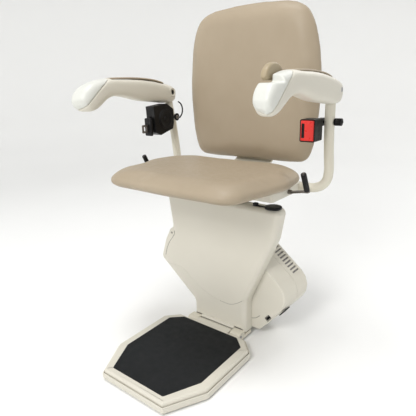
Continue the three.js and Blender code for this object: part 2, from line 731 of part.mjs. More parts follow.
function buildArm(side, name) {
  const centre = side * ARM_X;
  const body = armBody(centre);
  const slot = block([side * SLOT_X - 14, -24, 600], [side * SLOT_X + 14, 60, 702]);
  const pinBore = bar('x', 6.3, centre - 60, centre + 60, ARM_PIVOT.y, ARM_PIVOT.z, 20);
  const padX = centre - side * 3;
  const padFront = side > 0 ? PADDLE.y + 46 : -243;
  const padTop = [[padFront, 733.3], [-140, 732.5], [-70, 726], [-32, 717]];
  const pad = loft(padTop.map(([y, z]) => [[-18, -5], [18, -5], [18, -1.5], [13, 0], [-13, 0], [-18, -1.5]]
    .map(([x, dz]) => new THREE.Vector3(padX + x, y, z + dz))));
  const bed = loft(padTop.map(([y, z], i) => [[-18.4, -5.4], [18.4, -5.4], [18.4, 30], [-18.4, 30]]
    .map(([x, dz]) => new THREE.Vector3(padX + x, y + (i === 0 ? -0.4 : 0) + (i === 3 ? 0.4 : 0), z + dz))));
  const cuts = [slot, pinBore, bed];
  let shell = cut(body, fasciaSide(centre, 0), ...cuts);
  let fascia = common(body, fasciaSide(centre, 0.4));
  if (side > 0) {
    const stemBore = bar('x', 4, 270, 300, PADDLE.y, PADDLE.z, 12);
    shell = cut(shell, notch(centre), stemBore);
    fascia = cut(fascia, notch(centre), stemBore);
  }
  add(chair, `arm_${name}`, shell, cream);
  add(chair, `arm_fascia_${name}`, fascia, creamLight);
  add(chair, `arm_pad_${name}`, pad, tan);
}

// A half-round plate that stands in the notch and rocks fore and aft on its stem.
function controlPaddle() {
  const points = [[-31, 712], [31, 712], [37, 718]].map(([y, z]) => new THREE.Vector2(y, z));
  for (let step = 1; step < 12; step += 1) {
    const angle = (step / 12) * 180 * DEG;
    points.push(new THREE.Vector2(37 * Math.cos(angle), 718 + 28.5 * Math.sin(angle)));
  }
  points.push(new THREE.Vector2(-37, 718));
  const side = (x, distance) => shrunk(points, distance)
    .map((point) => new THREE.Vector3(x, PADDLE.y + point.x, point.y));
  const plate = loft([side(256, 3), side(259, 0), side(268, 0), side(271, 3)]);
  return join(plate, bar('x', 3.5, 268, 296, PADDLE.y, PADDLE.z, 12));
}

function buildArms() {
  buildArm(-1, 'left');
  buildArm(1, 'right');
  [[-1, 'left'], [1, 'right']].forEach(([side, name]) => {
    const centre = side * ARM_X;
    add(chair, `arm_pin_${name}`, bar('x', 6, centre - 25, centre + 25, ARM_PIVOT.y, ARM_PIVOT.z), steel);
  });
  add(chair, 'control_paddle', controlPaddle(), tan);
}

// ---------- swivel levers ----------
// Stub shaft with an inner crank, a strap outside the seat base, and a round grip.
function lever(side) {
  const { x, foot, top } = LEVER_GRIP;
  const shaft = bar('x', 6, 178, 204, LEVER.y, LEVER.z);
  const crank = block([180, LEVER.y - 3, LEVER.z - 7], [186, LEVER.y + 12, LEVER.z + 1]);
  const stations = [[203, LEVER.y, LEVER.z, 8], [x - 14, foot[0] + 6, foot[1] - 3, 6], [x + 5, foot[0], foot[1], 6]];
  const strap = loft(stations.map(([sx, sy, sz, half]) => [[-half, -2.5], [half, -2.5], [half, 2.5], [-half, 2.5]]
    .map(([dy, dz]) => new THREE.Vector3(sx, sy + dy, sz + dz))));
  const middle = [(foot[0] + top[0]) / 2, (foot[1] + top[1]) / 2];
  const grip = bentRod([[x, ...foot], [x, ...middle], [x, ...top]], 5.5, 3, 12);
  const whole = join(shaft, crank, strap, grip);
  return side > 0 ? whole : outward(whole.scale(-1, 1, 1));
}

// ---------- belt ----------
function buildBelt() {
  const retractor = join(
    loft([-283, -247].map((x) => [[-94, 566], [-72, 556], [-14, 572], [-9, 590], [-9, 634], [-38, 652], [-98, 646]]
      .map(([y, z]) => new THREE.Vector3(x, y, z)))),
    bar('x', 30, -286, -245, -48, 606, 20),
  );
  add(chair, 'belt_retractor', cut(retractor, block([-268, -110, 597], [-262, -86, 615])), black);
  add(chair, 'belt_tongue', join(
    block([-280, -112, 556], [-250, -101, 612]),
    block([-274, -134, 574], [-256, -111, 578]),
    block([-267.4, -104, 600], [-262.6, -89.5, 612]),
  ), black);
  add(chair, 'belt_buckle', cut(
    join(
      loft([[-62, 0], [-16, 3]].map(([y, grow]) => upright(outline([[226 - grow, 562, 4], [266, 562, 4],
        [266, 618, 4], [226 - grow, 618, 4]], 3), y))),
      block([245, -18, 596], [256.6, 22, 616]),
    ),
    block([237, -80, 566], [263, -40, 614]),
  ), black);
  add(chair, 'buckle_button', block([237.4, -63, 566.4], [262.6, -43, 613.6]), red);
  add(chair, 'buckle_bolt', join(
    bar('x', 4, 257, 289, 10, BELT_BOLT_Z, 16),
    bar('x', 9.5, 288, 306, 10, BELT_BOLT_Z, 16),
  ), black);
  add(chair, 'retractor_bolt', join(
    bar('x', 4, -286, -256, 10, BELT_BOLT_Z, 16),
    bar('x', 9, -258.4, -250, 10, BELT_BOLT_Z, 16),
  ), steel);
  add(chair, 'arm_cable', bentRod([
    [-248, 17, 656], [-245, 26, 648], [-244, 32, 632], [-245, 29, 615], [-248, 20, 603],
  ], 2.2, 12, 6), black);
}

buildRailRunningGear();
buildDrive();
buildSwitch();
buildCovers();
buildFootrest();
buildSwivel();
buildSeatFrame();
buildSeatAndBack();
buildArms();
add(chair, 'lever_right', lever(1), zinc);
add(chair, 'lever_left', lever(-1), zinc);
buildBelt();

export default root;
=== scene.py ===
"""Stairlift chair: the finished look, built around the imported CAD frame.

The chair's sizes are in millimetres, measured from the chair's datum (x = 0 is the centre plane,
z = 0 the top of the footrest mat), and at() turns them into the frame's metres.
"""

import json
import math

import bmesh
import bpy
import numpy as np
from mathutils import Matrix, Vector


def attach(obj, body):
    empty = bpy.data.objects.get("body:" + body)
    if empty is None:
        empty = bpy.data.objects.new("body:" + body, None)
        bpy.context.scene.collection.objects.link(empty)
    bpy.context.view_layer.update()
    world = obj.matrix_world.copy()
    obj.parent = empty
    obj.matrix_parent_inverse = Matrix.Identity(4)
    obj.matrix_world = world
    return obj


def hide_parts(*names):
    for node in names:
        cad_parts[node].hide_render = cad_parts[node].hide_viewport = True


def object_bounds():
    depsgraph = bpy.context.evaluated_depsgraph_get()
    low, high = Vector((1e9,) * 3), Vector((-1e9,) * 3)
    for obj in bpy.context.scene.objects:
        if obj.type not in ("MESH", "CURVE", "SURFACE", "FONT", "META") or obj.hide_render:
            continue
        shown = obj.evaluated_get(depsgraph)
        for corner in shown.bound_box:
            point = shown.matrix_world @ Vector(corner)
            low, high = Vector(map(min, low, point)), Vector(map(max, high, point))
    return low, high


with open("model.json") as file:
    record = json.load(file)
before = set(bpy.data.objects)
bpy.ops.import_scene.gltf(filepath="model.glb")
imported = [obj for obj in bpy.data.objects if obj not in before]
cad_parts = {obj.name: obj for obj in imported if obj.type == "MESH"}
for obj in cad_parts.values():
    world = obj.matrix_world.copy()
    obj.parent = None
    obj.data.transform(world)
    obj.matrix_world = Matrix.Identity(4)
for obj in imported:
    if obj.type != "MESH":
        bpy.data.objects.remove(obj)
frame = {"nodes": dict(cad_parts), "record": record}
CAD_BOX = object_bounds()

# ---------- driving dimensions, in millimetres ----------
DATUM_Y = 60
DATUM_Z = 120
RAIL_ANGLE = math.radians(40)
COVER_FRONT = -120
COVER_REAR = -80.3
COVER_EDGE_RADIUS = 15
COVER_JOINT_HALF = 0.3
COVER_JOINT_LOW = (38, 68)
SEAM_DEPTH = 0.25
TUBE_RADIUS = 13
TUBE_EYE_X = 277
BELT_BOLT = (10, 607)
FOOT_HINGE = (-142, -14)
HINGE_COVER_RADIUS = 12.6
HINGE_COVER_HALF = 61.5
APRON_MIDDLE = (-119.2, -9)
SEAT_MIDDLE_X = -12
SEAT_BOTTOM = 438.5
BACK_REAR = 80
ARM_X = 280
ARM_PIVOT_Z = 686
LEVER_X = 272


def at(x, y, z):
    """A point of the chair's datum in the frame's metres."""
    return Vector((x, y - DATUM_Y, z - DATUM_Z)) / 1000


def along_rail(s, t, y):
    """A point given along and off the rail, in the frame's metres."""
    x = s * math.cos(RAIL_ANGLE) + t * math.sin(RAIL_ANGLE)
    z = -s * math.sin(RAIL_ANGLE) + t * math.cos(RAIL_ANGLE)
    return at(x, y, z)


# ---------- camera ----------
def make_camera():
    yaw, pitch, roll = math.radians(38.2), math.radians(16.67), math.radians(-1.672)
    forward = Vector((
        -math.sin(yaw) * math.cos(pitch),
        math.cos(yaw) * math.cos(pitch),
        -math.sin(pitch),
    ))
    level = forward.cross(Vector((0, 0, 1))).normalized()
    upright = level.cross(forward)
    right = level * math.cos(roll) + upright * math.sin(roll)
    up = upright * math.cos(roll) - level * math.sin(roll)
    data = bpy.data.cameras.new("camera")
    data.sensor_width = 36
    data.lens = 35.92
    camera = bpy.data.objects.new("camera", data)
    turn = Matrix((right, up, -forward)).transposed().to_4x4()
    camera.matrix_world = Matrix.Translation(at(691.3, -1034.6, 709.2)) @ turn
    bpy.context.scene.collection.objects.link(camera)
    bpy.context.scene.camera = camera


make_camera()


# ---------- materials ----------
def linear(rgb):
    return tuple(c / 12.92 if c <= 0.04045 else ((c + 0.055) / 1.055) ** 2.4 for c in rgb) + (1,)


class Look:
    """A material on the Principled shader, with procedural colour change and bump."""

    def __init__(self, name, rgb, roughness, metallic=0.0):
        self.material = bpy.data.materials.new(name)
        self.material.use_nodes = True
        self.tree = self.material.node_tree
        self.shader = self.tree.nodes["Principled BSDF"]
        self.rgb = linear(rgb)
        self.shader.inputs["Base Color"].default_value = self.rgb
        self.shader.inputs["Roughness"].default_value = roughness
        self.shader.inputs["Metallic"].default_value = metallic
        self.place = self.tree.nodes.new("ShaderNodeTexCoord").outputs["Object"]
        self.normal = None

    def noise(self, scale, detail=4.0, stretch=None):
        node = self.tree.nodes.new("ShaderNodeTexNoise")
        node.inputs["Scale"].default_value = scale
        node.inputs["Detail"].default_value = detail
        node.inputs["Roughness"].default_value = 0.55
        self.tree.links.new(self.mapped(stretch), node.inputs["Vector"])
        return node.outputs["Fac"]

    def cells(self, scale, feature="F1"):
        node = self.tree.nodes.new("ShaderNodeTexVoronoi")
        node.feature = feature
        node.inputs["Scale"].default_value = scale
        self.tree.links.new(self.place, node.inputs["Vector"])
        return node.outputs["Distance"]

    def mapped(self, stretch):
        if stretch is None:
            return self.place
        node = self.tree.nodes.new("ShaderNodeMapping")
        node.inputs["Scale"].default_value = stretch
        self.tree.links.new(self.place, node.inputs["Vector"])
        return node.outputs["Vector"]

    def ramp(self, value, low, high):
        """Spreads the middle of a noise's range over low to high."""
        node = self.tree.nodes.new("ShaderNodeMapRange")
        node.inputs["From Min"].default_value = 0.3
        node.inputs["From Max"].default_value = 0.7
        node.inputs["To Min"].default_value = low
        node.inputs["To Max"].default_value = high
        self.tree.links.new(value, node.inputs["Value"])
        return node.outputs["Result"]

    def tint(self, value, other_rgb, share):
        """Blends towards another colour where value is high."""
        node = self.tree.nodes.new("ShaderNodeMix")
        node.data_type = "RGBA"
        node.inputs[6].default_value = self.rgb
        node.inputs[7].default_value = linear(other_rgb)
        self.tree.links.new(self.ramp(value, 0.0, share), node.inputs[0])
        self.tree.links.new(node.outputs[2], self.shader.inputs["Base Color"])
        return self

    def rough(self, value, low, high):
        self.tree.links.new(self.ramp(value, low, high), self.shader.inputs["Roughness"])
        return self

    def bump(self, value, strength, distance):
        node = self.tree.nodes.new("ShaderNodeBump")
        node.inputs["Strength"].default_value = strength
        node.inputs["Distance"].default_value = distance
        self.tree.links.new(value, node.inputs["Height"])
        if self.normal is not None:
            self.tree.links.new(self.normal, node.inputs["Normal"])
        self.normal = node.outputs["Normal"]
        self.tree.links.new(self.normal, self.shader.inputs["Normal"])
        return self

    def gloss(self, **sockets):
        for name, value in sockets.items():
            self.shader.inputs[name.replace("_", " ")].default_value = value
        return self


def moulded(name, rgb, roughness, shade):
    look = Look(name, rgb, roughness)
    look.tint(look.noise(5.0, 3.0), shade, 0.5)
    look.rough(look.noise(60.0), roughness - 0.05, roughness + 0.07)
    look.bump(look.noise(1500.0, 2.0), 0.12, 0.0002)
    return look.bump(look.noise(12.0, 2.0), 0.05, 0.002)


def machined(name, rgb, roughness):
    look = Look(name, rgb, roughness, 1.0)
    look.tint(look.noise(25.0), tuple(c * 0.88 for c in rgb), 0.5)
    look.rough(look.noise(120.0), roughness - 0.08, roughness + 0.12)
    return look.bump(look.noise(900.0, 2.0), 0.15, 0.0002)


def vinyl():
    look = Look("tan_vinyl", (0.655, 0.598, 0.515), 0.52)
    look.tint(look.noise(7.0, 3.0), (0.615, 0.558, 0.472), 0.6)
    look.rough(look.noise(90.0), 0.44, 0.56)
    look.gloss(Specular_IOR_Level=0.4)
    look.bump(look.cells(900.0, "DISTANCE_TO_EDGE"), 0.22, 0.0004)
    look.bump(look.noise(420.0, 5.0), 0.12, 0.0005)
    return look.bump(look.noise(9.0, 2.0), 0.12, 0.004)


def mat_rubber():
    look = Look("mat_rubber", (0.088, 0.096, 0.103), 0.7)
    look.tint(look.noise(14.0), (0.112, 0.120, 0.126), 0.5)
    look.rough(look.noise(50.0), 0.64, 0.78)
    look.gloss(Specular_IOR_Level=0.25)
    look.bump(look.cells(650.0), 0.25, 0.0004)
    return look.bump(look.noise(1600.0, 3.0), 0.2, 0.0002)


def black_moulding():
    look = Look("black_moulding", (0.035, 0.032, 0.036), 0.36)
    look.tint(look.noise(30.0), (0.06, 0.056, 0.06), 0.5)
    look.rough(look.noise(80.0), 0.38, 0.52)
    look.gloss(Specular_IOR_Level=0.28)
    return look.bump(look.noise(1300.0, 3.0), 0.25, 0.0003)


def tyre_rubber():
    look = Look("roller_rubber", (0.10, 0.10, 0.10), 0.6)
    look.tint(look.noise(25.0), (0.15, 0.15, 0.15), 0.5)
    return look.bump(look.noise(700.0, 3.0), 0.25, 0.0004)


def powder_coat():
    look = Look("powder_coat", (0.862, 0.842, 0.778), 0.42)
    look.tint(look.noise(9.0), (0.825, 0.800, 0.735), 0.5)
    look.rough(look.noise(70.0), 0.36, 0.48)
    look.gloss(Coat_Weight=0.15, Coat_Roughness=0.3)
    return look.bump(look.noise(650.0, 2.0), 0.18, 0.0003)


def solder_mask():
    look = Look("solder_mask", (0.13, 0.36, 0.22), 0.4)
    look.tint(look.cells(120.0), (0.30, 0.46, 0.28), 0.8)
    return look.bump(look.cells(260.0), 0.3, 0.0004)


LOOKS = {
    "cover_plastic": moulded(
        "cream_moulding", (0.845, 0.828, 0.778), 0.42, (0.822, 0.803, 0.750)),
    "fascia_plastic": moulded(
        "light_moulding", (0.845, 0.847, 0.822), 0.36, (0.826, 0.828, 0.800)),
    "tube_paint": powder_coat(),
    "upholstery": vinyl(),
    "black_plastic": black_moulding(),
    "red_plastic": moulded("red_button", (0.91, 0.20, 0.17), 0.3, (0.84, 0.15, 0.13)),
    "mat_rubber": mat_rubber(),
    "roller_rubber": tyre_rubber(),
    "steel": machined("bright_steel", (0.62, 0.62, 0.63), 0.34),
    "zinc": machined("zinc_plate", (0.52, 0.50, 0.48), 0.42),
    "alloy": machined("cast_alloy", (0.72, 0.73, 0.75), 0.45),
    "brass": machined("brass", (0.72, 0.57, 0.33), 0.34),
    "board": solder_mask(),
}
SEAM = Look("seam_shadow", (0.30, 0.285, 0.26), 0.8)
SEAM.bump(SEAM.noise(500.0), 0.2, 0.0002)
WEBBING = Look("webbing", (0.09, 0.09, 0.10), 0.8)
WEBBING.bump(WEBBING.noise(260.0, 2.0, stretch=(1, 6, 6)), 0.5, 0.0006)

NODE_BODY = {n: b for b, ns in frame["record"]["behaviour"]["bodies"].items() for n in ns}
NODE_SLOT = {row["node"]: row["material_slot"] for row in frame["record"]["subparts"]}


# ---------- pieces ----------
def piece(name, mesh, body, slot, look=None, stands_for=()):
    """A mesh as a finished piece: linked, given its material, and riding on its body."""
    made = bpy.data.objects.new(name, mesh)
    bpy.context.scene.collection.objects.link(made)
    mesh.materials.clear()
    mesh.materials.append((look or LOOKS[slot]).material)
    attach(made, body)
    if stands_for:
        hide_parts(*stands_for)
    return made


def smooth(mesh, angle=40):
    for polygon in mesh.polygons:
        polygon.use_smooth = True
    mesh.set_sharp_from_angle(angle=math.radians(angle))


def bevelled(made, width, segments=2):
    """Rounds the piece's edges by a width in millimetres."""
    bevel = made.modifiers.new("edges", "BEVEL")
    bevel.width = width / 1000
    bevel.segments = segments
    bevel.limit_method = "ANGLE"
    bevel.angle_limit = math.radians(32)
    bevel.use_clamp_overlap = True
    weighted = made.modifiers.new("shading", "WEIGHTED_NORMAL")
    weighted.keep_sharp = True


def cleaned(node):
    """A copy of a CAD node's mesh with its flat faces whole again."""
    mesh = frame["nodes"][node].data.copy()
    work = bmesh.new()
    work.from_mesh(mesh)
    bmesh.ops.remove_doubles(work, verts=work.verts, dist=2e-5)
    bmesh.ops.dissolve_limit(
        work, angle_limit=math.radians(1.0), verts=work.verts, edges=work.edges
    )
    bmesh.ops.recalc_face_normals(work, faces=work.faces)
    work.to_mesh(mesh)
    work.free()
    return mesh


def remade(node, edge=0.8, segments=2):
    """The CAD node again, with rounded edges and smooth shading."""
    mesh = cleaned(node)
    smooth(mesh, 34)
    made = piece(node + "_finished", mesh, NODE_BODY[node], NODE_SLOT[node], None, [node])
    bevelled(made, edge, segments)


def mesh_from(name, vertices, faces):
    mesh = bpy.data.meshes.new(name)
    mesh.from_pydata([tuple(v) for v in vertices], [], faces)
    mesh.validate()
    work = bmesh.new()
    work.from_mesh(mesh)
    bmesh.ops.recalc_face_normals(work, faces=work.faces)
    work.to_mesh(mesh)
    work.free()
    return mesh


def loft(name, rings, closed_ends=True):
    """A skin through rings with equal numbers of points, in metres."""
    count = len(rings[0])
    vertices = [v for ring in rings for v in ring]
    faces = []
    for step in range(len(rings) - 1):
        for i in range(count):
            a, b = step * count + i, step * count + (i + 1) % count
            faces.append((a, b, b + count, a + count))
    if closed_ends:
        faces.append(tuple(range(count)))
        faces.append(tuple(range((len(rings) - 1) * count, len(rings) * count)))
    return mesh_from(name, vertices, faces)


def outline(corners, steps=8):
    """Corner points (a, b, radius) as a closed line with arcs at the corners."""
    line = []
    for i, (a, b, radius) in enumerate(corners):
        here = Vector((a, b))
        if not radius:
            line.append(here)
            continue
        back = (Vector(corners[i - 1][:2]) - here).normalized()
        ahead = (Vector(corners[(i + 1) % len(corners)][:2]) - here).normalized()
        half = math.acos(max(-1.0, min(1.0, back.dot(ahead)))) / 2
        centre = here + (back + ahead).normalized() * (radius / math.sin(half))
        start = here + back * (radius / math.tan(half)) - centre
        end = here + ahead * (radius / math.tan(half)) - centre
        sweep = math.atan2(start.x * end.y - start.y * end.x, start.dot(end))
        for step in range(steps + 1):
            turn = Matrix.Rotation(sweep * step / steps, 2)
            line.append(centre + turn @ start)
    return line


def inset(line, distance):
    """The closed line moved inwards by a distance."""
    area = sum(p.x * q.y - p.y * q.x for p, q in zip(line, line[1:] + line[:1]))
    side = 1 if area > 0 else -1
    moved = []
    for i, here in enumerate(line):
        a = (here - line[i - 1]).normalized()
        b = (line[(i + 1) % len(line)] - here).normalized()
        normal = Vector((-(a.y + b.y), a.x + b.x)).normalized() * side
        stretch = max(0.5, math.sqrt(max(0.0, (1 + a.dot(b)) / 2)))
        moved.append(here + normal * (distance / stretch))
    return moved


def resampled(line, spacing):
    """The closed line with points no further apart than the spacing."""
    made = []
    for p, q in zip(line, line[1:] + line[:1]):
        pieces = max(1, math.ceil((q - p).length / spacing))
        made.extend(p.lerp(q, k / pieces) for k in range(pieces))
    return made


def curve_through(points, per_span=8):
    """A smooth line through the points (centripetal Catmull-Rom), in the points' units."""
    pts = [Vector(p) for p in points]
    pts = [pts[0] * 2 - pts[1], *pts, pts[-1] * 2 - pts[-2]]
    made = []
    for i in range(1, len(pts) - 2):
        p0, p1, p2, p3 = pts[i - 1:i + 3]
        knots = [0.0]
        for a, b in ((p0, p1), (p1, p2), (p2, p3)):
            knots.append(knots[-1] + max(1e-6, (b - a).length) ** 0.5)
        t0, t1, t2, t3 = knots
        for k in range(per_span):
            t = t1 + (t2 - t1) * k / per_span
            a1 = p0 * ((t1 - t) / (t1 - t0)) + p1 * ((t - t0) / (t1 - t0))
            a2 = p1 * ((t2 - t) / (t2 - t1)) + p2 * ((t - t1) / (t2 - t1))
            a3 = p2 * ((t3 - t) / (t3 - t2)) + p3 * ((t - t2) / (t3 - t2))
            b1 = a1 * ((t2 - t) / (t2 - t0)) + a2 * ((t - t0) / (t2 - t0))
            b2 = a2 * ((t3 - t) / (t3 - t1)) + a3 * ((t - t1) / (t3 - t1))
            made.append(b1 * ((t2 - t) / (t2 - t1)) + b2 * ((t - t1) / (t2 - t1)))
    made.append(pts[-2].copy())
    return made


def swept(name, path, radius, sides=20):
    """A round rod along a path, in metres."""
    rings = []
    normal = None
    for i, here in enumerate(path):
        before = path[i - 1] if i else here
        after = path[i + 1] if i < len(path) - 1 else here
        ahead = (after - before).normalized()
        if normal is None:
            normal = ahead.orthogonal().normalized()
        normal = (normal - ahead * normal.dot(ahead)).normalized()
        across = ahead.cross(normal)
        rings.append([
            here + (normal * math.cos(a) + across * math.sin(a)) * radius
            for a in (2 * math.pi * k / sides for k in range(sides))
        ])
    return loft(name, rings)


def turned(name, profile, centre, axis, sides=32):
    """A solid turned about an axis; its profile is (distance along, radius), in millimetres."""
    axis = Vector(axis).normalized()
    side = axis.orthogonal().normalized()
    other = axis.cross(side)
    rings = []
    for along, radius in profile:
        rings.append([
            centre + axis * (along / 1000)
            + (side * math.cos(a) + other * math.sin(a)) * (radius / 1000)
            for a in (2 * math.pi * k / sides for k in range(sides))
        ])
    return loft(name, rings)


def slab(name, low, high):
    """A box between two corners given in the chair's datum."""
    (x0, y0, z0), (x1, y1, z1) = low, high
    base = [(x0, y0), (x1, y0), (x1, y1), (x0, y1)]
    return loft(name, [[at(x, y, z) for x, y in base] for z in (z0, z1)])


def sliced(source, tool, operation):
    """The source mesh cut by a tool mesh; returns the new mesh."""
    a = bpy.data.objects.new("work_a", source)
    b = bpy.data.objects.new("work_b", tool)
    for o in (a, b):
        bpy.context.scene.collection.objects.link(o)
    cut = a.modifiers.new("cut", "BOOLEAN")
    cut.operation = operation
    cut.solver = "MANIFOLD"
    cut.object = b
    bpy.context.view_layer.update()
    evaluated = a.evaluated_get(bpy.context.evaluated_depsgraph_get())
    mesh = bpy.data.meshes.new_from_object(evaluated)
    bpy.data.objects.remove(a)
    bpy.data.objects.remove(b)
    return mesh


# ---------- covers ----------
def smile(x):
    """Height of the joint between the front cover and the column cover."""
    low_x, low_z = COVER_JOINT_LOW
    if x > low_x:
        return low_z + 29 * (min(x, 98) / 55 - low_x / 55) ** 1.7
    return low_z + 27 * min(1.6, (low_x - x) / 110) ** 2.2


def body_outline():
    """Front cover, column cover and end lobe as one outline, from the top left."""
    return resampled(outline([
        (-194, 388, 16), (-179, 282, 20), (-181, 271, 3), (-194, 262, 12), (-214, 226, 60),
        (-237, 158, 18), (-96, 40, 20), (-96, -16, 6), (98, -16, 6), (98, 88, 60),
        (190, 300, 90), (206, 388, 16),
    ]), 14)


def cover_body():
    """The three covers as one shell with a rounded front edge."""
    line = body_outline()
    rings = [[at(p.x, COVER_REAR, p.y) for p in inset(line, 3.5)]]
    rings.append([at(p.x, COVER_REAR, p.y) for p in line])
    for step in range(9):
        angle = step / 8 * math.pi / 2
        y = COVER_FRONT + COVER_EDGE_RADIUS * (1 - math.sin(angle))
        inwards = COVER_EDGE_RADIUS * (1 - math.cos(angle))
        rings.append([at(p.x, y, p.y) for p in inset(line, inwards)])
    return loft("cover_body", rings)


def prism(name, points, y_from, y_to):
    return loft(name, [[at(x, y, z) for x, z in points] for y in (y_from, y_to)])


def below_joint(gap):
    """A block that fills the space under the joint line."""
    top = [(x, smile(x) - gap) for x in range(-280, 281, 10)]
    return prism("below", [*top, (280, -60), (-280, -60)], -160, -40)


def beyond_lobe(gap):
    """A block that fills the space to the left of the lobe's joint line."""
    knots = [(-214, 120), (-216, 152), (-209, 182), (-194, 215), (-176, 240), (-168, 253),
             (-168, 263), (-180, 268.5), (-200, 272)]
    line = [(p.x + gap, p.y) for p in curve_through([(x, z, 0) for x, z in knots], 6)]
    return prism("beyond", [*line, (-330, 272), (-330, 120)], -160, -40)


def build_covers():
    whole = cover_body()
    gap = COVER_JOINT_HALF
    lobe = sliced(whole.copy(), beyond_lobe(-gap), "INTERSECT")
    rest = sliced(whole, beyond_lobe(gap), "DIFFERENCE")
    upper = sliced(rest.copy(), below_joint(-gap), "DIFFERENCE")
    lower = sliced(rest, below_joint(gap), "INTERSECT")
    for name, mesh, nodes in (("front_cover_skin", upper, ["front_cover"]),
                              ("column_cover_skin", lower, ["column_cover"]),
                              ("end_cap_skin", lobe, ["end_cap"])):
        smooth(mesh, 38)
        made = piece(name, mesh, "carriage", "cover_plastic", None, nodes)
        shading = made.modifiers.new("shading", "WEIGHTED_NORMAL")
        shading.keep_sharp = True
    seam_y = COVER_FRONT + SEAM_DEPTH
    seam = [at(x, seam_y, smile(x)) for x in range(8, 92, 4)]
    mesh = swept("cover_seam", seam, 0.0005, 8)
    piece("cover_seam", mesh, "carriage", "black_plastic", SEAM)
    knots = [(-212, 170), (-203, 198), (-190, 222), (-176, 240), (-168, 253), (-168, 262)]
    seam = [at(p.x, seam_y, p.y) for p in curve_through([(*k, 0) for k in knots], 6)]
    mesh = swept("lobe_seam", seam, 0.0007, 8)
    piece("lobe_seam", mesh, "carriage", "black_plastic", SEAM)
    head = turned("screw", [(0, 3.4), (0.9, 3.2), (1.3, 2.4), (1.3, 1.4), (0.3, 1.2), (0.3, 0.2)],
                  at(-179, COVER_FRONT + 0.4, 254), (0, -1, 0), 24)
    smooth(head, 35)
    piece("cover_screw_head", head, "carriage", "zinc", None, ["cover_screw"])


def build_housing():
    for node in ("front_shell", "rear_shell"):
        remade(node, 1.2, 3)
    remade("end_buffer", 1.0)
    remade("power_switch", 0.5)
    remade("rail_saddle", 0.8)
    # A grey sheet just under the vent slots closes them; its grey is painted shade for the dark
    # inside of the vents.
    shade_sheet = [[along_rail(s, t, y)
               for s, t in ((-54, t0), (47, t0), (47, t0 + 1.6), (-54, t0 + 1.6))]
              for y, t0 in ((-18.5, 255.6), (6.5, 264.6))]
    shade_sheet = loft("vent_shade_sheet", shade_sheet)
    smooth(shade_sheet, 30)
    look = moulded("vent_shade_sheet", (0.62, 0.61, 0.60), 0.6, (0.56, 0.55, 0.55))
    bevelled(piece("vent_shade_sheet", shade_sheet, "carriage", "cover_plastic", look), 0.4)
    seam_line = curve_through([(94, COVER_REAR + 0.6, 20), (103, COVER_REAR + 0.5, 22),
                               (114, COVER_REAR + 0.5, 27), (126, COVER_REAR + 0.5, 38)])
    seam_line = [at(*p) for p in seam_line]
    mesh = swept("panel_seam", seam_line, 0.0006, 8)
    piece("panel_seam", mesh, "carriage", "black_plastic", SEAM)
    bezel = resampled(outline(
        [(86.4, 119.4, 2), (99.6, 119.4, 2), (99.6, 138.6, 2), (86.4, 138.6, 2)], 4), 4)
    rings = [[along_rail(p.x, p.y, y) for p in inset(bezel, d)]
             for y, d in ((-79.6, 0), (-80.6, 0), (-81.0, 0.5), (-81.0, 1.1), (-79.6, 1.1))]
    mesh = loft("switch_bezel", rings + rings[:1], closed_ends=False)
    smooth(mesh)
    piece("switch_bezel", mesh, "carriage", "black_plastic")
    for i, (s, t) in enumerate(((-140, 178), (-14, 178), (-140, -16), (-14, -16)), 1):
        remade(f"guide_roller_{i}", 1.5, 3)
        cap = turned(f"roller_cap_{i}", [(0, 7.5), (1.5, 7.5), (2.3, 6.6), (2.3, 0.8)],
                     along_rail(s, t, 53.2), (0, 1, 0))
        smooth(cap)
        piece(f"roller_cap_{i}", cap, f"roller_{i}", "steel")


# ---------- footrest ----------
def eight_sided(rear, side, front, y_rear, y_shoulder, y_knee, y_front):
    half = [(rear, y_rear), (side, y_shoulder), (side, y_knee), (front, y_front)]
    right = [(x, y, 7) for x, y in half]
    left = [(-x, y, 7) for x, y in reversed(half)]
    return resampled(outline(right + left, 4), 30)


